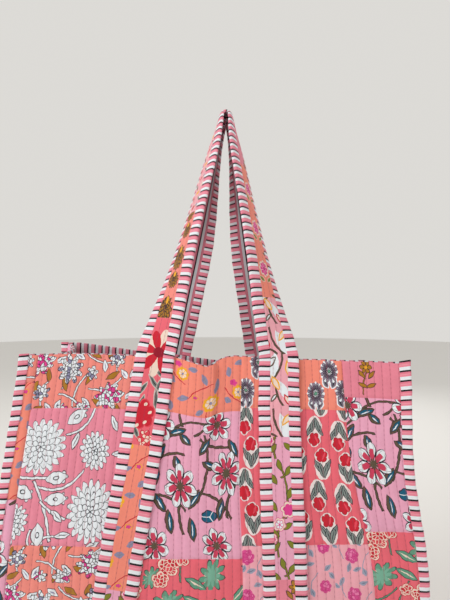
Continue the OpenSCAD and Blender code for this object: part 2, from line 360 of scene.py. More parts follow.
class Cloth:
    """A cotton material, painted in the flat cloth's millimetres."""

    def __init__(self, name, ground, wobble=1.2):
        self.material = bpy.data.materials.new(name)
        self.material.use_nodes = True
        self.nodes = self.material.node_tree.nodes
        self.links = self.material.node_tree.links
        flat = self.add("UVMap", uv_map="cloth").outputs[0]
        noise = self.add("TexNoise", flat, None, 0.16, 2.0, noise_dimensions="2D").outputs[1]
        moved = self.vector("SUBTRACT", noise, (0.5, 0.5, 0))
        moved = self.vector("MULTIPLY", moved, (2 * wobble, 2 * wobble, 0))
        self.cloth = self.vector("ADD", flat, moved)
        self.at = self.cloth
        self.cell = None  # made by cells() when a print first asks for it
        self.colour = linear(ground)

    def feed(self, socket, value):
        """Link a socket to a value, or set it to the value."""
        if isinstance(value, Field):
            value = value.socket
        if isinstance(value, bpy.types.NodeSocket):
            self.links.new(value, socket)
        elif value is not None:
            socket.default_value = value

    def add(self, kind, *values, **settings):
        node = self.nodes.new("ShaderNode" + kind)
        for key, value in settings.items():
            setattr(node, key, value)
        for socket, value in zip(node.inputs, values):
            self.feed(socket, value)
        return node

    def math(self, operation, *values):
        return Field(self, self.add("Math", *values, operation=operation).outputs[0])

    def vector(self, operation, *values):
        return self.add("VectorMath", *values, operation=operation).outputs[0]

    def apart(self, place):
        node = self.add("SeparateXYZ", place)
        return Field(self, node.outputs[0]), Field(self, node.outputs[1])

    def length(self, place):
        return Field(self, self.add("VectorMath", place, operation="LENGTH").outputs[1])

    def tile(self, wide, tall, drop=0.5, middle=(0, 0)):
        """Repeat what is drawn next, each column lower than the last by a share of its height."""
        x, y = self.apart(self.vector("SUBTRACT", self.cloth, (*middle, 0)))
        u = self.math("WRAP", x, wide / 2, -wide / 2)
        w = self.math("MULTIPLY_ADD", x - u, drop * tall / wide, y)
        w = self.math("WRAP", w, tall / 2, -tall / 2)
        local = self.add("CombineXYZ", u, w, 0.0).outputs[0]
        self.at = self.vector("ADD", local, (*middle, 0))

    def placed(self, x, y, turn, long, wide):
        """Places as seen by a motif, in halves of its length and width."""
        return self.add("Mapping", self.at, (x, y, 0), (0, 0, math.radians(turn)),
                        (long / 2, wide / 2, 1), vector_type="TEXTURE").outputs[0]

    def polar(self, x, y, turn, long, wide):
        """Places as seen by a round motif: the share of its radius, and the angle."""
        place = self.placed(x, y, turn, long, wide)
        u, w = self.apart(place)
        return self.length(place), self.math("ARCTAN2", w, u)

    def paint(self, mask, colour, share=1.0):
        """Cover what the mask shows with a colour."""
        mixer = self.add("Mix", data_type="RGBA")
        self.feed(mixer.inputs[0], mask if share == 1.0 else mask * share)
        self.feed(mixer.inputs[6], self.colour)
        self.feed(mixer.inputs[7], linear(colour))
        self.colour = mixer.outputs[2]

    def fill(self, level, colour, edge=None, line=0.7):
        """Paint where the level is above zero, with an edge line in another colour."""
        if edge is not None:
            self.paint(level > 0.0, edge)
        self.paint(level > (0.0 if edge is None else line), colour)

    def leaf(self, x, y, turn, long, wide, colour, edge=None, line=0.7):
        """A pointed leaf, lying along its turn."""
        u, w = self.apart(self.placed(x, y, turn, long, wide))
        self.fill((1.0 - u * u - abs(w)) * (wide / 2), colour, edge, line)

    def veined(self, x, y, turn, long, wide, colour, edge, line, share, thick, ink):
        """A leaf with a vein, which is as long as a share of the leaf."""
        self.leaf(x, y, turn, long, wide, colour, edge, line)
        self.leaf(x, y, turn, long * share, thick, ink)

    def dot(self, x, y, turn, long, wide, colour, edge=None, line=0.7):
        far = self.length(self.placed(x, y, turn, long, wide))
        self.fill((1.0 - far) * (min(long, wide) / 2), colour, edge, line)

    def stem(self, x, y, turn, long, bend, thick, colour, edge=None, line=0.6):
        """A bent line, whose middle stands off by its bend."""
        u, w = self.apart(self.placed(x, y, turn, long, 2))
        arc = self.math("MULTIPLY_ADD", u * u, -bend, bend)
        ends = (1.0 - abs(u)) * (long / 2)
        self.fill(self.math("MINIMUM", thick / 2 - abs(w - arc), ends), colour, edge, line)

    def flower(self, x, y, turn, long, wide, petals, notch=0.35, sharp=False):
        """How far inside a flower's outline each place is, its share of the radius, and how
        close it is to the middle of a petal."""
        far, angle = self.polar(x, y, turn, long, wide)
        wave = abs(self.math("COSINE", angle * (petals / 2)))
        reach = wave if sharp else wave ** 0.5
        reach = self.math("MULTIPLY_ADD", reach, notch, 1 - notch)
        return (reach - far) * (min(long, wide) / 2), far, wave

    def bloom(self, x, y, turn, long, wide, petals, colour, edge=None, line=0.7, notch=0.35,
              sharp=False, spokes=None, heart=None):
        """A flower with round or sharp petals, lines between them, and a heart."""
        level, far, wave = self.flower(x, y, turn, long, wide, petals, notch, sharp)
        self.fill(level, colour, edge, line)
        if spokes is not None:
            gap = wave * far * (min(long, wide) / petals)
            self.paint((gap < line / 2) * (level > 0.0), spokes)
        if heart is not None:
            self.paint(far < 0.24, heart)

    def cells(self):
        """Irregular cells: the distance from their borders, and a random value for each."""
        if self.cell is None:
            edge = self.add("TexVoronoi", self.cloth, None, 1 / CELL, voronoi_dimensions="2D",
                            feature="DISTANCE_TO_EDGE").outputs[0]
            tint = self.add("TexVoronoi", self.cloth, None, 1 / CELL, voronoi_dimensions="2D")
            self.cell = (Field(self, edge) * CELL, self.apart(tint.outputs["Color"])[0])
        return self.cell

    def blossom(self, x, y, turn, long, wide, petals, colour, line, other, share=0.3,
                thick=0.32, sharp=True):
        """A ragged flower of small cells in two colours, with lines between them."""
        level = self.flower(x, y, turn, long, wide, petals, 0.42, sharp)[0]
        self.fill(level, line)
        edge, tint = self.cells()
        inside = (level > 2 * thick) * (edge > thick)
        self.paint(inside, colour)
        self.paint(inside * (tint < share), other)

    def petals(self, x, y, turn, long, wide, count, colour, edge, wedge, line):
        """A flower whose separate petals widen outwards, with a wedge of colour in each."""
        far, angle = self.polar(x, y, turn, long, wide)
        size = (long + wide) / 4
        off = abs(self.math("FRACT", angle * (count / (2 * math.pi))) - 0.5)
        off = off * far * (2 * math.pi / count * size)
        share = (far - 0.16) / 0.84
        share = self.math("MINIMUM", self.math("MAXIMUM", share, 0.0), 1.0)
        half = share * (1.0 - share) ** 0.5 * (1.7 * math.pi / count * size)
        level = half - off
        self.fill(level, colour, edge, line)
        vein = abs(off - half * 0.45) < 0.2
        self.paint(vein * (level * share > 0.25), edge, 0.6)
        self.paint((half * (1.0 - share) > off) * (share < 0.66), wedge)

    def dahlia(self, x, y, turn, long, wide, rings):
        """Rings of pointed petals in white, outlined in ink."""
        far, angle = self.polar(x, y, turn, long, wide)
        size = min(long, wide) / 2
        for radius, petals, phase in rings:
            wave = abs(self.math("COSINE", self.math("MULTIPLY_ADD", angle, petals / 2, phase)))
            reach = self.math("MULTIPLY_ADD", wave, 0.26 * radius, 0.74 * radius)
            level = (reach - far) * size
            self.fill(level, WHITE, INK, 0.75)
            gap = wave * far * (2 * size / petals)
            self.paint((gap < 0.3) * (level > 0.0), INK)

    def stripes(self, along, order, tilt, painted_shade):
        """Woven stripes, in black, white and pink with a lighter line along its middle, each
        colour darkened by a factor for painted shade.
        """
        x, y = self.apart(self.cloth)
        main, other = (y, x) if along else (x, y)
        place = self.math("MULTIPLY_ADD", other, tilt, main)
        place = self.math("WRAP", place, STRIPE, 0.0) * order
        if order < 0:
            place = place + STRIPE
        for start, colour in STRIPES:
            self.paint(place > start, tuple(c * painted_shade for c in colour))

    def sew_and_paint_shade(self, flat, bump):
        """Stitches in rows, in the channels between the puffs, with painted shade at each stitch
        and along each quilting line. Returns the bump with them.
        """
        x, y = self.apart(flat)
        line = x / QUILT
        off = self.math("PINGPONG", line, 0.5)
        start = self.math("FRACT", self.math("ROUND", line) * 0.618)
        run = self.math("FRACT", y / STITCH + start)
        stitch = (off < 0.4 / QUILT) * (run < 0.45)
        # painted shade: the dimple at each stitch is darkened with the shade pink
        self.paint(stitch, PAINTED_SHADE_PINK, 0.3)
        # painted shade along each quilting line, where the cloth dips between the puffs
        channel = self.math("MAXIMUM", 1.0 - off * 6.5, 0.0)
        self.paint(channel * channel, PAINTED_SHADE_PINK, 0.26)
        return self.math("MULTIPLY_ADD", stitch, -2.0, bump)

    def finish(self, quilted=True):
        """The yarn, fading, wear and sewing that all the cloths share, with painted shade along
        the quilting lines and at the stitches.
        """
        flat = self.add("UVMap", uv_map="sewing").outputs[0]
        bump = 0.0
        for stretch, strength in YARNS:
            yarn = self.add("Mapping", flat, (0, 0, 0), (0, 0, 0), stretch).outputs[0]
            noise = self.add("TexNoise", yarn, None, 1.0, 2.0, noise_dimensions="2D").outputs[0]
            change = self.math("MULTIPLY_ADD", noise, 2 * strength, 1 - strength)
            tint = self.add("CombineXYZ", change, change, change).outputs[0]
            self.colour = self.vector("MULTIPLY", self.colour, tint)
            bump = self.math("ADD", noise, bump)
        x, y = self.apart(flat)
        threads = self.math("SINE", x * WEAVE) * self.math("SINE", y * WEAVE)
        bump = self.math("MULTIPLY_ADD", threads, 0.35, bump)
        if quilted:
            # quilted cloth gets the stitches' bump and painted shade along its quilting lines
            bump = self.sew_and_paint_shade(flat, bump)
        relief = self.add("Bump")
        for name, value in (("Strength", 0.6), ("Distance", 0.0004), ("Height", bump)):
            self.feed(relief.inputs[name], value)
        shader = self.nodes["Principled BSDF"]
        rough = self.math("MULTIPLY_ADD", noise, 0.2, ROUGH)
        for name, value in (("Base Color", self.colour), ("Roughness", rough),
                            ("Specular IOR Level", 0.25), ("Sheen Weight", 0.15),
                            ("Sheen Roughness", 0.5), ("Normal", relief.outputs[0])):
            self.feed(shader.inputs[name], value)
        return self.material


def each(draw, places, *look):
    """Draw the same motif at several places."""
    for place in places:
        draw(*place, *look)


DAHLIA_RINGS = [(1.0, 19, 0.0), (0.8, 16, 0.7), (0.6, 13, 0.2), (0.4, 9, 0.5), (0.2, 6, 0.0)]


def dahlia(c):
    """Big white dahlias with buds on white stems, on pink."""
    each(c.stem, [
        (-6, 57, 46, 42, -8), (-51, -1, 0, 36, 0), (-22, 0, 16, 56, -12), (-37, -34, -68, 66, 3),
        (-25, -33, -31, 36, -2), (-46, -62, 88, 20, 2), (-30, -66, 30, 26, 5)],
        3.6, WHITE, INK, 0.7)
    for x, y, turn in (
            (-11, 60, 35), (-25, -1, 8), (-60, -15, -28), (-23, -22, 5), (-38, -58, -88)):
        way = math.radians(turn)
        c.bloom(x + 7 * math.cos(way), y + 7 * math.sin(way), turn, 13, 14, 5, WHITE, INK, 0.8,
                0.5, True)
        c.leaf(x, y, turn, 25, 14, WHITE, INK, 0.8)
        c.dot(x, y, turn, 6, 4.4, WHITE, INK, 0.8)
    each(c.veined, [
        (-20, -39, -45), (-12, -58, 10), (-9, 36, 72), (33, 54, -62), (42, 24, 8), (-68, -68, 80),
        (20, -68, 30)], 19, 7.5, WHITE, INK, 0.8, 12 / 19, 0.9, INK)
    for x, y, turn, long, wide, start in (
            (-47, 30, 0, 58, 58, 0), (16, -34, 0, 52, 66, 0), (14, 26, 20, 42, 52, 1),
            (-66, -46, -20, 40, 50, 1)):
        c.dahlia(x, y, turn, long, wide, DAHLIA_RINGS[start:])


def branch(c):
    """White and lilac blossom on ochre branches, outlined in black, on coral."""
    c.tile(84, 72)
    each(c.stem, [
        (-8, -8, 62, 44, 7), (16, -2, 18, 40, -6), (-22, -22, -30, 32, 4), (6, 26, -20, 36, -5),
        (32, 22, 80, 28, 4), (-34, 6, 95, 30, -4)], 2.6, WHITE, BLACK, 0.6)
    each(c.leaf, [
        (-2, 4, 65, 20), (24, 6, 30, 18), (-30, -4, 110, 17), (10, -22, -20, 16),
        (2, 28, 150, 16), (-14, -30, 60, 15), (34, -30, 100, 15), (20, 30, 70, 14)],
        6.5, OCHRE, BROWN, 0.6)
    each(c.veined, [
        (34, -14, 20), (-16, 26, -35), (-36, -26, 60), (14, 16, 100), (-4, -22, 140),
        (38, 8, -50), (-38, 22, 30)], 15, 7, WHITE, BLACK, 0.7, 8 / 15, 1.2, LILAC)
    for x, y, long, wide, petals, other in (
            (-26, 12, 30, 34, 9, LILAC), (22, -16, 34, 30, 9, MAGENTA),
            (28, 24, 21, 19, 7, LILAC), (-8, -30, 22, 19, 7, MAGENTA), (0, 8, 15, 17, 6, LILAC),
            (-30, -30, 14, 14, 6, MAGENTA)):
        c.blossom(x, y, 20, long, wide, petals, WHITE, BLACK, other)


def meadow(c):
    """Yellow flowers, lilac leaves and thin red stems, on orange."""
    c.tile(66, 58, 0.4)
    each(c.stem, [(8, -2, 35, 34, 4), (-20, 12, -40, 26, -3), (20, -20, 70, 24, 3)], 1.0, RED)
    each(c.veined, [
        (-12, -12, 20, 15), (12, 14, -60, 14), (26, 2, 80, 17), (-26, -22, 100, 12),
        (-2, 22, 10, 11), (-26, 6, 140, 10), (8, -24, 40, 11)],
        6.0, LILAC, None, 0.7, 0.8, 1.0, GREY)
    for x, y, size in ((-14, 14, 15), (20, -14, 19)):
        c.bloom(x, y, 10, size, size, 8, GOLD, None, 0.7, 0.25)
        c.bloom(x, y, 30, size * 0.72, size * 0.72, 7, CREAM, GOLD, 0.6, 0.25, False, GOLD, LILAC)
    c.bloom(-20, 24, 0, 9, 7, 5, MAGENTA)
    c.bloom(2, -8, 0, 8, 6, 5, MAGENTA, GOLD)


def vine(c):
    """Round striped flowers and teal leaves on olive stems, on pink."""
    c.tile(118, 160, 0.0)
    each(c.stem, [
        (-40, 12, 82, 86, 9), (-24, 24, 20, 40, 6), (12, 18, 85, 72, -8), (-6, -24, 92, 50, 4),
        (26, -20, -35, 48, 7), (-24, -18, -20, 46, 6), (-4, 58, 20, 46, 7), (-30, 40, 40, 34, 4),
        (14, 66, 55, 36, -4), (-10, 80, 90, 40, 5), (48, -14, 70, 40, 5), (30, 44, -15, 40, -6)],
        3.0, OLIVE, BROWN, 0.7)
    for x, y, turn, long in (
            (-34, 30, 62, 26), (-6, 47, -38, 18), (-31, -18, -52, 24), (-20, -36, -80, 26),
            (16, 40, 60, 22), (6, -14, 60, 24), (34, -24, 80, 24), (-48, 6, 80, 20),
            (-16, 54, 20, 24), (4, -44, -80, 26), (-38, 4, 66, 26), (30, 76, 20, 20),
            (48, 36, -60, 22), (-52, -30, 60, 22), (22, 20, -30, 18), (-14, 22, 110, 16)):
        c.leaf(x, y, turn, long, 9.5, OLIVE, BROWN, 0.8)
        c.leaf(x + 0.8, y + 0.4, turn - 5, long * 0.8, 4.8, TEAL, INK, 0.4)
        c.leaf(x + 0.4, y - 0.6, turn - 3, long * 0.45, 1.2, WHITE)
    c.bloom(22, -31, 0, 18, 13, 3, TEAL, INK, 0.8, 0.2, False, WHITE)
    for x, y, turn, long, wide, petals in (
            (-9, -1, 15, 35, 46, 7), (41, 11, 0, 35, 46, 8), (-35, 61, 30, 31, 38, 6),
            (29, 61, 40, 29, 38, 6), (-35, -60, 10, 31, 37, 6), (29, -60, 25, 30, 37, 7)):
        c.petals(x, y, turn, long, wide, petals, WHITE, INK, (204, 62, 92), 1.1)
        c.bloom(x, y, turn, long * 0.3, wide * 0.28, 11, OLIVE, BROWN, 0.6, 0.45, True)


def berry(c):
    """Lobed green leaves and clustered red petals edged in white."""
    c.tile(92, 84)
    each(c.stem, [
        (0, -6, 75, 60, 6), (-22, 10, 20, 36, -5), (22, 4, -30, 34, 5)], 2.2, GREEN, BROWN, 0.6)
    for x, y, turn, size in (
            (-20, 28, 30, 34), (24, -28, 70, 34), (34, 24, 0, 26), (-38, -30, 50, 24)):
        c.bloom(x, y, turn, size * 1.1, size * 0.8, 9, GREEN, INK, 0.8, 0.5, True, CREAM)
        c.bloom(x, y, turn + 12, size * 0.7, size * 0.5, 9, (120, 176, 152), None, 0.7, 0.6, True)
    each(c.veined, [
        (6, 30, -30), (-40, -4, 50), (8, -36, 150)], 26, 9, GREEN, INK, 0.7, 18 / 26, 1.4, CREAM)
    for x, y, size in (
            (-20, -18, 24), (-6, -10, 18), (-28, -32, 19), (20, 8, 25), (37, -2, 18),
            (4, 14, 15)):
        c.bloom(x, y, 20, size, size, 5, CREAM, RED, 0.7, 0.35)
        c.blossom(x, y, 20, size * 0.86, size * 0.86, 5, RED, CREAM, LIGHT_RED, 0.3, 0.34, False)


def clock(c):
    """Grey seed heads with green hearts in white haloes, on orange."""
    for x, y in ((-54, -9), (28, -10), (44, 15), (-39, 22), (60, -6), (-74, 16)):
        for side in (-1, 1):
            c.veined(x + 4.5 * side, y - 13, 90 - 28 * side, 14, 8, (120, 112, 126), WHITE, 1.4,
                     8 / 14, 1.4, INK)
        c.bloom(x, y, 0, 21, 27, 12, WHITE, None, 0.7, 0.3, True)
        c.petals(x, y, 0, 20, 26, 12, (150, 138, 158), BLACK, (84, 70, 86), 0.45)
        c.dot(x, y, 0, 4.2, 4.2, GREEN, BROWN, 0.6)


def tulip(c):
    """Small red tulips over grey leaves in white haloes, turned up and down, on coral red."""
    c.tile(26.5, 65, 0.06)
    halo = (236, 224, 222)
    for x, y, way in ((3.7, 16, 1), (-3.7, -16, -1)):
        c.dot(x - 0.5, y - way * 3, 90, 27, 17.5, halo)
        c.bloom(x - 1, y + way * 8, 90 * way, 16.5, 15.5, 4, halo, None, 0.7, 0.22)
        for side, turn, low, long in (
                (-1.3, 118, -3, 18), (1.2, 62, -3, 18), (-0.5, 100, -7, 17), (0.6, 78, -7, 17)):
            c.veined(x + side * 4, y + way * low, turn * way, long, 5.6, (134, 144, 140), INK,
                     0.7, 0.7, 0.9, INK)
        c.bloom(x - 1, y + way * 8, 90 * way, 14.5, 13.5, 5, RED, (160, 22, 44), 0.7, 0.3)
        c.leaf(x + 1.4, y + way * 8, 70 * way, 10, 2.2, (228, 74, 90))


def rose(c):
    """Magenta roses with grey leaves, on pale pink."""
    c.tile(54, 40)
    grey = (152, 158, 178)
    each(c.veined, [
        (-4, -12, 20), (4, -15, 110), (-12, -10, 70), (20, 10, 40), (24, 2, 130), (-20, 16, 60),
        (-26, 12, 150), (2, 14, 10)], 9.5, 4.6, grey, None, 0.7, 6 / 9.5, 1.0, (110, 118, 140))
    c.stem(6, -6, 70, 24, 3, 0.9, grey)
    c.stem(-18, 8, 100, 18, 2, 0.9, grey)
    for x, y, size in ((-8, 2, 14.5), (17, -9, 12.5)):
        c.bloom(x, y, 10, size, size * 1.1, 7, ROSE, None, 0.7, 0.2)
        c.blossom(x, y, 10, size * 0.8, size * 0.84, 5, (234, 128, 176), (196, 44, 118), ROSE,
                  0.4, 0.25, False)


def sprig(c):
    """A golden-brown sprig on plain pink."""
    c.tile(58, 52, 0.5, (-14, -4))
    c.stem(-10, -2, 75, 30, 3, 1.8, OCHRE, BROWN, 0.5)
    each(c.leaf, [
        (-15, 6, 130), (-4, 6, 50), (-14, -6, 150), (-5, -6, 20)], 12, 5, OCHRE, BROWN)
    c.bloom(-10, 14, 0, 14, 16, 6, OCHRE, BROWN, 0.8, 0.4, True, BROWN, GOLD)


def starflower(c):
    """Red star flowers with white rays and grey-green leaves, on coral red."""
    c.tile(60, 138, 0.3)
    each(c.veined, [
        (4, -6, 130, 26), (9, -8, 70, 22), (-8, -12, 60, 18), (8, -22, 95, 24), (-7, -26, 75, 18),
        (10, 4, 150, 14), (-8, -56, 120, 18)],
        5.5, (112, 120, 114), (206, 196, 190), 0.8, 0.6, 1.0, INK)
    c.bloom(4, 28, 20, 52, 56, 6, CREAM, None, 0.7, 0.93, True)
    c.bloom(4, 28, 50, 50, 54, 6, RED, None, 0.7, 0.88, True, None, (150, 16, 40))
    c.bloom(-4, -38, 20, 28, 32, 6, RED, LIGHT_RED, 1.2, 0.3)
    each(c.dot, [(-2, -28), (4, -36), (0, -46), (-8, -50)], 40, 4.5, 3, CREAM)
    c.blossom(3, -62, 10, 17, 18, 6, CREAM, RED, LIGHT_RED, 0.35, 0.4, False)


def thistle(c):
    """Ochre thistle heads, on coral."""
    c.tile(30, 68, 0.45, (-2, 0))
    for x, y, long, wide in ((-1, 8, 20, 34), (0, -22, 17, 22)):
        c.bloom(x, y, 0, long, wide, 13, BROWN, None, 0.7, 0.35, True)
        for row in range(3):
            size = 1 - 0.28 * row
            c.bloom(x, y - 1 + 2 * row, 9 * row, long * size, wide * size, 12 - 2 * row, OCHRE,
                    BROWN, 0.9, 0.3, True, BROWN)
        c.leaf(x, y + wide * 0.32, 90, wide * 0.4, 6, GOLD, BROWN)


def scatter(c):
    """Small flowers in many colours, on pale pink."""
    c.tile(26, 44, 0.4)
    each(c.leaf, [
        (0, 14, 40, 13, 6, RED), (-5, 2, 110, 12, 5, OLIVE), (7, 4, 60, 10, 5, CREAM),
        (2, -8, 20, 13, 6, GOLD), (-6, -16, 80, 13, 5, RED), (8, -18, 120, 10, 4, OLIVE),
        (-8, 12, 150, 9, 5, CREAM), (7, 17, 10, 8, 4, LILAC)], CREAM, 0.8)


def aster(c):
    """Magenta flowers over two green leaves in white haloes, on orange."""
    c.tile(30, 56, 0.3)
    for side in (-1, 1):
        c.leaf(6 * side, -13, 90 - 50 * side, 10, 5.5, MOSS, CREAM, 0.8)
    c.bloom(0, 1, 0, 18, 22, 8, CREAM, None, 0.7, 0.3)
    c.bloom(0, 1, 0, 14, 18, 8, MAGENTA, None, 0.7, 0.4, False, (250, 160, 200), (180, 30, 100))
    c.leaf(-9, 22, 20, 10, 4, OLIVE)


def twig(c):
    """Crooked olive twigs with gold leaves and red petals, on pink and white."""
    c.tile(34, 92, 0.4)
    each(c.leaf, [(-6, 22, 70, 34, 11), (7, -6, 100, 40, 12), (-5, -30, 60, 26, 9)], WHITE)
    each(c.stem, [
        (0, 26, 68, 36, -4), (3, -4, 112, 36, 4), (-2, -34, 70, 34, -4), (8, 14, 30, 16, 2)],
        2.4, OLIVE, BROWN, 0.5)
    for x, y, turn, long, wide, colour in (
            (10, 0, 128, 20, 8, OLIVE), (-10, -6, 80, 19, 7, GOLD), (-8, 32, 130, 18, 7, GOLD),
            (4, -22, 60, 18, 7.5, GOLD), (11, 24, 75, 12, 5, RED), (13, 40, 100, 15, 5, RED),
            (12, -22, 110, 14, 6, RED), (-9, -40, 60, 15, 6, RED), (6, -38, 130, 12, 5, OLIVE)):
        c.leaf(x, y, turn, long, wide, WHITE if colour == OLIVE else CREAM, colour, 1.5)


def creeper(c):
    """An olive creeper with magenta and white blossom, on pink."""
    c.tile(44, 96, 0.0)
    each(c.stem, [
        (0, 18, 84, 58, 5), (2, -28, 100, 42, -4), (-5, 36, 130, 18, 2)], 2.4, MOSS, BROWN, 0.5)
    each(c.leaf, [
        (-7, 36, 120), (2, 42, 75), (-8, 14, 110), (9, 2, 60), (8, 28, 60), (9, -24, 40),
        (-8, -36, 40), (8, -38, 130), (-4, -18, 150)], 13, 6, MOSS, BROWN, 0.6)
    for x, y, size, colour in (
            (-6, -2, 17, MAGENTA), (4, -16, 14, WHITE), (12, -30, 12, MAGENTA)):
        c.bloom(x, y, 10, size, size, 6, CREAM, MAGENTA, 0.6, 0.3)
        c.bloom(x, y, 10, size * 0.7, size * 0.7, 6, colour, MAGENTA, 0.6, 0.3, False, MAGENTA)


def striped_cloth(name, along, order=1, tilt=0.03, painted_shade=1.0):
    # A factor below 1 darkens the whole cloth, ground and stripes, as painted shade.
    c = Cloth(name, tuple(v * painted_shade for v in BLACK), 0.25)
    c.stripes(along, order, tilt, painted_shade)
    return c.finish(False)


def plain_cloth(name, colour):
    c = Cloth(name, colour)
    c.tile(34, 34)
    c.bloom(0, 0, 0, 7, 7, 5, (226, 130, 140), None, 0.7, 0.3)
    return c.finish()


# Each print, the ground that it is on, and how far its lines wander.
PRINTS = [(dahlia, ROSE_PINK, 1.2), (branch, CORAL, 1.2), (meadow, ORANGE, 1.2),
          (vine, VINE_PINK, 1.2), (berry, RED_CORAL, 1.2), (clock, ORANGE, 1.2),
          (tulip, RED_CORAL, 1.2), (rose, PALE_PINK, 1.2), (sprig, PLAIN_PINK, 1.2),
          (starflower, RED_CORAL, 0.8), (thistle, CORAL, 0.8), (scatter, PALE_PINK, 0.8),
          (aster, ORANGE, 0.8), (twig, PALE_PINK, 0.8), (creeper, VINE_PINK, 0.8)]
CLOTHS = {
    "across": striped_cloth("striped_binding_cloth", True, -1),
    "across_turned": striped_cloth("striped_binding_cloth_turned", True, 1),
    # The facing and strap lining cloths are copies of the striped cloth darkened to 0.86: painted
    # shade for parts that lie in shadow.
    "upright": striped_cloth("striped_facing_cloth", False, 1, 0.02, 0.86),
    "lengthwise": striped_cloth("strap_lining_cloth", False, 1, 0.0, 0.86),
    "lining": plain_cloth("lining_cloth", (222, 120, 130)),
}
for draw, ground, wobble in PRINTS:
    cloth = Cloth(f"{draw.__name__}_cloth", ground, wobble)
    draw(cloth)
    CLOTHS[draw.__name__] = cloth.finish()


# ---- Pieces of cloth ----

def cloth_piece(name, body, nodes, points, sewing, cloth, outward, origin=(0, 0)):
    """Make a sheet, attach it to its body if it has one, and hide the solids that it stands for.
    """
    cells = np.cross(points[:-1, 1:] - points[:-1, :-1], points[1:, :-1] - points[:-1, :-1])
    flip = float((cells * outward[:-1, :-1]).sum()) < 0
    piece = make_piece(name, points, sewing, CLOTHS[cloth], origin, flip)
    if body:
        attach(piece, body)
    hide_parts(*nodes)
    return piece


# ---- Front and back panels ----

SIDE = {-1: "front", 1: "back"}
HAND = {-1: "left", 1: "right"}
SEAMS = [-1, -0.91, -0.33, 0.16, 0.685, 1]
ROWS = [[30, 149, 262], [57, 195, 340], [59, 206, 351], [55, 193, 338], [40, 180, 325]]
FRONT_PRINTS = [["branch", "meadow", "vine", "branch"],
                ["branch", "dahlia", "branch", "dahlia"],
                ["meadow", "vine", "berry", "aster"],
                ["clock", "tulip", "rose", "tulip"],
                ["sprig", "vine", "berry", "rose"]]
BACK_PRINTS = [["rose", "tulip", "meadow", "vine"],
               ["tulip", "berry", "dahlia", "meadow"],
               ["branch", "rose", "vine", "tulip"],
               ["vine", "meadow", "branch", "rose"],
               ["meadow", "dahlia", "berry", "clock"]]
EDGE_U = BAG_W / 2


def seam_at(index, t):
    """Where a seam between columns lies. The one on the right slants outwards."""
    drift = 0.07 * smooth(t / 0.7) if index == 4 else 0.0
    return SEAMS[index] + drift


def panel_relief(column, a, u, v, rows):
    """The height of the quilted patchwork, with valleys at its seams."""
    t = v / BAG_H
    relief = quilting(u, v)
    for index in (column, column + 1):
        if 0 < index < len(SEAMS) - 1:
            relief = relief + seam_valley((a - seam_at(index, t)) * EDGE_U)
    for height in rows:
        relief = relief + seam_valley(v - height)
    under_binding = np.clip((EDGE_U * (1 - np.abs(a)) - 6) / 5, 0, 1)
    return relief * under_binding * top_fade(v)


def top_fade(v):
    """The quilting dies out at the mouth's edge."""
    return np.clip((v + 1) / 5, 0, 1)


def patch(side, column, row, print_name):
    rows = ROWS[column]
    heights = [0.4] + rows + [BAG_H - 1]
    low, high = heights[row], heights[row + 1]
    steps = int((SEAMS[column + 1] - SEAMS[column]) * EDGE_U / 1.45) + 1
    k, v = np.meshgrid(np.linspace(0, 1, steps), spaced(low, high, 2.1))
    t = v / BAG_H
    a = mix(seam_at(column, t), seam_at(column + 1, t), k)
    u = a * EDGE_U
    points, normal = on_panel(side, a, v)
    points = points + normal * panel_relief(column, a, u, v, rows)[..., None]
    name = SIDE[side]
    origin = (float(u.mean()), -(low + high) / 2)
    cloth_piece(f"{name}_patch_{column + 1}_{row + 1}", "bag",
                [f"{name}_patches_{column + 1}"], points, np.stack([u, -v], -1), print_name,
                normal, origin)


def inner_cloth(side):
    """A panel's lining, quilted with it."""
    name = SIDE[side]
    a, v = np.meshgrid(spaced(-0.995, 0.995, 0.011), spaced(2, BAG_H - 1, 4))
    u = a * EDGE_U
    points, normal = on_panel(side, a, v)
    points = points - normal * lining_depth(u, v)[..., None]
    cloth_piece(f"{name}_lining_cloth", "bag",
                [f"{name}_lining", f"{name}_wadding"], points, np.stack([u, -v], -1), "lining",
                -normal)


def section(profile):
    """The two coordinates of a profile's places, and the length along it."""
    first, second = np.array(profile, float).T
    run = np.concatenate([[0], np.cumsum(np.hypot(np.diff(first), np.diff(second)))])
    return first, second, run


def profile_piece(node, shape, lines, profile, cloth, turned):
    """A strip that follows a profile of places (across, depth) all along its lines."""
    across, depth, run = section(profile)
    p, q = np.meshgrid(across, lines)
    points, normal = shape(p, q)
    points = points - normal * depth[None, :, None]
    outward = normal * (np.clip(depth, 0.5, PANEL_T) - depth)[None, :, None]
    u, w = np.meshgrid(run, lines)
    sewing = np.stack([w * EDGE_U, u], -1) if turned else np.stack([u, -w], -1)
    cloth_piece(f"{node}_cloth", "bag", [node], points, sewing, cloth, outward)


FACING_PROFILE = [(1.0, 0.3), (0.4, -0.2), (-0.4, 0.1), (-1.0, 0.9), (-1.2, 1.9), (-0.8, 3.0),
                  (0.4, 3.8), (4, 4.1), (8, 4.2), (12, 4.2), (15.6, 4.1), (16.3, 3.4)]
BINDING_PROFILE = [(10.2, 0.0), (9.9, -0.9), (8.6, -1.15), (5.8, -1.2), (3, -1.2), (1.1, -1.0),
                   (-0.4, -0.3), (-1.1, 1.0), (-1.2, 2.2), (-0.7, 3.7), (0.9, 4.6), (3, 4.8),
                   (6, 4.8), (9.4, 4.7), (10, 3.6)]


def ripple(length, salt):
    """A binding's small unevenness along its run."""
    return (0.22 * np.sin(length / 6.3 + salt) + 0.16 * np.sin(length / 2.9 + 2 * salt)
            + 0.12 * np.sin(length / 17.0 + 3 * salt))


def facing(side):
    profile_piece(f"{SIDE[side]}_facing", lambda v, a: on_panel(side, a, v),
                  spaced(-0.985, 0.985, 0.008), FACING_PROFILE, "upright", True)


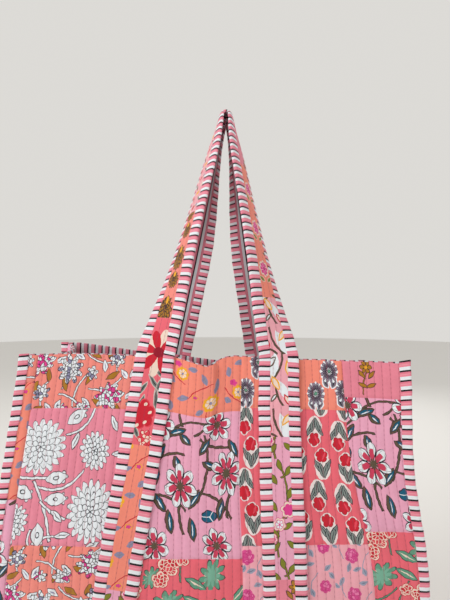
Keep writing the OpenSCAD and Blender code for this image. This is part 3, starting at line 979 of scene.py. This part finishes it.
def side_binding(side, hand):
    def shape(e, v):
        a = hand * (1 - (e + ripple(v, hand + side)) / EDGE_U)
        return on_panel(side, a, v)

    profile_piece(f"{SIDE[side]}_{HAND[hand]}_binding", shape, spaced(-1.6, BAG_H + 1, 1.7),
                  BINDING_PROFILE, "across" if hand < 0 else "across_turned", False)


def base_binding(side):
    def shape(e, a):
        return on_panel(side, a, BAG_H - e - ripple(a * EDGE_U, side))

    profile_piece(f"{SIDE[side]}_base_binding", shape, spaced(-0.945, 0.945, 0.008),
                  BINDING_PROFILE, "upright", True)


for side in (-1, 1):
    for column, names in enumerate(FRONT_PRINTS if side < 0 else BACK_PRINTS):
        for row, print_name in enumerate(names):
            patch(side, column, row, print_name)
    inner_cloth(side)
    facing(side)
    base_binding(side)
    for hand in (-1, 1):
        side_binding(side, hand)

# ---- Gussets and base ----

GUSSET_W = 108
BASE_W = 1.2 * GUSSET_W
GUSSET_ROWS = [0.4, 118, 246, BAG_H - SEAM_W - 3]
GUSSET_PRINTS = {-1: ["vine", "branch", "tulip"], 1: ["tulip", "meadow", "berry"]}


def gusset_piece(name, hand, g, v, depth, nodes, cloth, inside, origin=(0, 0), run=None):
    """A cloth of a gusset. run is the distance down the cloth, where v isn't."""
    points, normal = with_normals(lambda p, q: gusset_at(hand, p, q), g, v, (0.01, 0.5))
    normal = normal * -hand
    sewing = np.stack([g * GUSSET_W, -(v if run is None else run)], -1)
    cloth_piece(name, "bag", nodes, points + normal * depth[..., None], sewing, cloth,
                -normal if inside else normal, origin)


def gusset(hand):
    name = HAND[hand]
    for row, print_name in enumerate(GUSSET_PRINTS[hand]):
        low, high = GUSSET_ROWS[row:row + 2]
        g, v = np.meshgrid(np.linspace(0, 1, 76), spaced(low, high, 2.2))
        depth = quilting(g * GUSSET_W, v) * top_fade(v)
        for height in GUSSET_ROWS[1:3]:
            depth = depth + seam_valley(v - height)
        gusset_piece(f"{name}_gusset_patch_{row + 1}", hand, g, v, depth,
                     [f"{name}_gusset_outer"], print_name, False,
                     (GUSSET_W / 2, -(low + high) / 2))
    g, v = np.meshgrid(np.linspace(0, 1, 40), spaced(2, GUSSET_ROWS[-1], 5))
    gusset_piece(f"{name}_gusset_lining_cloth", hand, g, v, -lining_depth(g * GUSSET_W, v),
                 [f"{name}_gusset_lining", f"{name}_gusset_wadding"], "lining",
                 True)
    heights, depths, run = section(FACING_PROFILE)
    g, v = np.meshgrid(np.linspace(0.02, 0.98, 60), heights)
    g, run = np.meshgrid(np.linspace(0.02, 0.98, 60), run)
    depth = np.broadcast_to(-depths[:, None], g.shape)
    gusset_piece(f"{name}_gusset_facing_cloth", hand, g, v, depth, [f"{name}_gusset_facing"],
                 "upright", True, run=run)


def base():
    for name, inside, nodes, slot, cloth, step in (
            ("base_cloth", False, ["base_outer"], "gusset_print", "berry", 1.5),
            ("base_lining_cloth", True, ["base_lining", "base_wadding"], "lining_cloth",
             "lining", 4)):
        a, g = np.meshgrid(spaced(-1, 1, step / EDGE_U), spaced(0, 1, step / GUSSET_W))
        points, normal = with_normals(base_at, a, g, (0.002, 0.01))
        u, w = a * EDGE_U, g * BASE_W
        height = lining_depth(w, u) if inside else -quilting(w, u)
        cloth_piece(name, "bag", nodes, points + normal * height[..., None],
                    np.stack([w, u], -1), cloth, normal if inside else -normal)


gusset(-1)
gusset(1)
base()

# ---- Straps ----
# d is the distance along a strap from its crown on the hook, the same on both legs.

CROWN_RADIUS = {-1: 6.5, 1: 3.0}  # of the bend over the hook
CROWN_ANGLE = math.radians(80)  # how far each leg follows that bend
CROWN_Y = 9.0  # how far each strap lies from the hook's middle
PRONG_R = 4
SEWN_V = BAG_H - SEAM_W - 0.5
SEWN_OUT = 1.1  # height of a sewn leg's back over its panel
FRAME_STEP = 2.0
LEG_MIDDLE = (-10.5, -36)  # between the two legs, at the mouth and at the base
LEG_GAP = (141, 188)  # from leg to leg, at the mouth and at the base
BACK_LEG_IN = 8  # how much further in the back legs are at the mouth
EASE = 6  # reach of the rounding of a path, in steps


def leg_x(side, hand, t):
    spread = mix(*LEG_GAP, smooth(t)) / 2 - (BACK_LEG_IN * (1 - t) if side > 0 else 0)
    return mix(*LEG_MIDDLE, t) + hand * spread


def twist(side, s):
    """A leg's turn about its length, in degrees, from the hook (0) to the mouth (1)."""
    if side < 0:
        return 66 * (1 - s ** 3.6) + 24 * np.exp(-s / 0.12)
    return 90 * (1 - smooth(s / 0.8))


def sewn_frame(side, hand, v):
    """Where a sewn leg lies on its panel."""
    t = v / BAG_H
    x = leg_x(side, hand, t)
    a = 2 * (x - left_edge(t)) / (right_edge(t) - left_edge(t)) - 1
    points, normal = on_panel(side, a, v)
    return points + normal * SEWN_OUT, normal


class Leg:
    """One leg of a strap, from the middle of its crown to its foot at the base."""

    def __init__(self, side, hand):
        self.side, self.hand = side, hand
        radius = CROWN_RADIUS[side]
        self.bend = radius * CROWN_ANGLE
        end = np.array([hand * radius * math.sin(CROWN_ANGLE), side * CROWN_Y,
                        radius * math.cos(CROWN_ANGLE) - PRONG_R])
        foot = sewn_frame(side, hand, np.array([0.0]))[0][0]
        self.free = self.bend + float(np.linalg.norm(foot - end))
        self.length = self.free + SEWN_V
        d = self.d = np.arange(-20, self.length + 20, FRAME_STEP)
        s = np.clip((d - self.bend) / (self.free - self.bend), 0, 1)
        on_hook = (d < self.bend)[:, None]
        on_bag = (d > self.free)[:, None]
        angle = np.clip(d / radius, -CROWN_ANGLE, CROWN_ANGLE)
        turn = np.radians(twist(side, s))
        crown = stacked(hand * radius * np.sin(angle), side * CROWN_Y,
                        radius * np.cos(angle) - PRONG_R)
        sewn, sewn_out = sewn_frame(side, hand, np.clip(d - self.free, 0, None))
        place = np.where(on_hook, crown, mix(end, foot, s[:, None]))
        self.place = self.eased(np.where(on_bag, sewn, place))
        out = stacked(hand * np.sin(turn), side * np.cos(turn), 0)
        out = np.where(on_hook, stacked(hand * np.sin(angle), 0, np.cos(angle)), out)
        out = self.eased(np.where(on_bag, sewn_out, out))
        across = stacked(-hand * np.cos(turn), side * np.sin(turn), 0)
        across = self.eased(np.where(on_hook, np.array([0, side, 0]), across))
        along = unit(np.gradient(self.place, axis=0))
        self.across = unit(across - along * (across * along).sum(1, keepdims=True))
        normal = np.cross(along, self.across)
        self.out = normal * np.sign((normal * out).sum(1, keepdims=True))
        self.share = mix(0.8, 1.0, np.clip(s / 0.15, 0, 1))
        self.loose = smooth((self.free - d) / 60)
        self.thick = mix(0.78, 1.0, np.clip(s / 0.12, 0, 1)) * mix(0.8, 1, self.loose)

    @staticmethod
    def eased(values, width=2):
        """Round off the corners of a path."""
        kernel = np.exp(-(np.arange(-EASE, EASE + 1) / width) ** 2)
        kernel /= kernel.sum()
        wide = np.concatenate([values[:1].repeat(EASE, 0), values, values[-1:].repeat(EASE, 0)])
        return np.stack([np.convolve(wide[:, i], kernel, "valid") for i in range(3)], -1)

    def at(self, values, d):
        if values.ndim == 1:
            return np.interp(d, self.d, values)
        return np.stack([np.interp(d, self.d, values[:, i]) for i in range(3)], -1)

    def surface(self, p, q, d):
        """Points at p across and q out from the strap's back, d along it."""
        cup = 3.4 * self.at(self.loose, d)
        out = q * self.at(self.thick, d) - cup * (2 * p / STRAP_W) ** 2
        wide = (p * self.at(self.share, d))[..., None]
        return (self.at(self.place, d) + self.at(self.across, d) * wide
                + self.at(self.out, d) * out[..., None])


# A strap's binding in section: the distance in from the strap's edge, and the height.
STRAP_EDGE = [(12.9, 3.6), (12.6, 4.5), (11, 4.7), (8.3, 4.8), (5.3, 4.8), (2.5, 4.6), (0.8, 4.0),
              (0, 2.9), (-0.1, 1.6), (0.5, 0.5), (2.1, -0.1), (5.5, -0.3), (9.3, -0.3),
              (12.1, -0.3), (12.6, 0.4)]
FACE_HALF = STRAP_W / 2 - 12  # half the width of the patchwork between the bindings
STRAP_PATCHES = {
    (-1, -1): ([162, 304, 442, 584], ["scatter", "thistle", "starflower", "meadow", "creeper"]),
    (-1, 1): ([90, 275, 432, 572], ["sprig", "aster", "twig", "creeper", "sprig"]),
    (1, -1): ([120, 268, 416, 566], ["meadow", "tulip", "creeper", "berry", "aster"]),
    (1, 1): ([140, 290, 436, 580], ["rose", "thistle", "meadow", "twig", "tulip"]),
}
BODY = {-1: "front_strap", 1: "back_strap"}
BEND_FROM = 3  # a strap starts to bend this far below the mouth
BEND_TO = 14  # and has bent this far above it


def strap_piece(leg, name, slot, nodes, profile, lines, cloth, facing_out, origin):
    """A strip of a strap. One that crosses the mouth is attached to no body, and its transform is
    baked into its mesh.
    """
    across, height, run = section(profile)
    p, d = np.meshgrid(across, lines)
    q = np.broadcast_to(height, p.shape)
    if slot == "strap_patchwork":
        q = q + quilting(p + QUILT / 2, d, 0.4) * np.clip(FACE_HALF - abs(p), 0, 1)
    if slot == "striped_cloth":
        p = p + np.sign(p) * ripple(d, leg.hand)
    points = leg.surface(p, q, d)
    middle = leg.surface(p * 0.8, np.full_like(p, 2.2), d)
    outward = points - middle if facing_out else -leg.at(leg.out, d)
    u, w = np.meshgrid(run, lines)
    low, high = leg.free - BEND_TO, leg.free + BEND_FROM
    crosses = lines[0] < high and lines[-1] > low
    strap_body = BODY[leg.side]
    body = None if crosses else (strap_body if lines[-1] <= low else "bag")
    piece = cloth_piece(name, body, nodes, points, np.stack([u, -w], -1), cloth, outward,
                        origin)
    if crosses:
        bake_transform(piece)


def strap(side):
    strap_name = f"{SIDE[side]}_strap"
    for hand in (-1, 1):
        leg = Leg(side, hand)
        name = f"{strap_name}_{HAND[hand]}"
        band = f"{SIDE[side]}_{HAND[hand]}_leg"
        bounds, prints = STRAP_PATCHES[side, hand]
        stops = [0] + bounds + [leg.length]
        face = [(p, 4.1) for p in np.linspace(-FACE_HALF, FACE_HALF, 17)]
        for index, print_name in enumerate(prints):
            low, high = stops[index:index + 2]
            nodes = []
            if low < leg.free:
                nodes.append(f"{strap_name}_face")
            if high > leg.free:
                nodes.append(f"{band}_band")
            strap_piece(leg, f"{name}_patch_{index + 1}", "strap_patchwork", nodes, face,
                        spaced(low, high, 1.8), print_name, True,
                        (FACE_HALF, -(low + high) / 2))
        for edge, edge_name in ((-1, "outer"), (1, "inner")):
            profile = [(edge * (STRAP_W / 2 - p), q) for p, q in STRAP_EDGE]
            cloth = "across_turned" if hand < 0 and edge > 0 else "across"
            if side > 0:
                cloth = "across_turned" if hand > 0 else "across"
            strap_piece(leg, f"{name}_{edge_name}_binding_cloth", "striped_cloth",
                        [f"{strap_name}_{edge_name}_binding", f"{band}_bindings"], profile,
                        spaced(0, leg.length, 1.7), cloth, True, (0, 0))
        back = [(p, 0.0) for p in np.linspace(-FACE_HALF - 0.4, FACE_HALF + 0.4, 11)]
        strap_piece(leg, f"{name}_lining_cloth", "strap_lining_cloth",
                    [f"{strap_name}_lining", f"{strap_name}_wadding"], back,
                    spaced(0, leg.free + 2, 3), "lengthwise", False, (1.5, 0))


strap(-1)
strap(1)

# ---- Floor and light, in metres and watts ----

FLOOR_R = 6
FLOOR_Z = -0.80
FLOOR_SIDES = 64
FLOOR_COLOUR = (0.76, 0.745, 0.72, 1)
WALL_LIGHT = (0.72, 0.705, 0.675, 1)
LIT_PLACE = (0, 0, -0.4)  # the middle of the bag, where the lamps point


def area_light(name, place, size, power):
    data = bpy.data.lights.new(name, "AREA")
    data.shape = "DISK"
    data.size = size
    data.energy = power
    light = bpy.data.objects.new(name, data)
    light.location = place
    light.rotation_euler = (Vector(LIT_PLACE) - Vector(place)).to_track_quat("-Z", "Y").to_euler()
    bpy.context.scene.collection.objects.link(light)


def make_stage():
    mesh = bpy.data.meshes.new("floor")
    turns = [2 * math.pi * k / FLOOR_SIDES for k in range(FLOOR_SIDES)]
    ring = [(FLOOR_R * math.cos(turn), FLOOR_R * math.sin(turn), FLOOR_Z) for turn in turns]
    mesh.from_pydata(ring, [], [list(range(FLOOR_SIDES))])
    floor = bpy.data.objects.new("floor", mesh)
    material = bpy.data.materials.new("pale_floor")
    material.use_nodes = True
    shader = material.node_tree.nodes["Principled BSDF"]
    shader.inputs["Base Color"].default_value = FLOOR_COLOUR
    shader.inputs["Roughness"].default_value = 0.9
    mesh.materials.append(material)
    bpy.context.scene.collection.objects.link(floor)
    world = bpy.data.worlds.new("studio")
    world.use_nodes = True
    world.node_tree.nodes["Background"].inputs["Color"].default_value = WALL_LIGHT
    bpy.context.scene.world = world


make_stage()
area_light("key", (-1.7, -1.2, 0.9), 1.1, 27)
area_light("fill", (1.8, -1.2, 0.2), 1.4, 4)
area_light("behind", (0.4, 1.8, 0.6), 1.6, 12)
bpy.context.scene.view_settings.view_transform = "Standard"
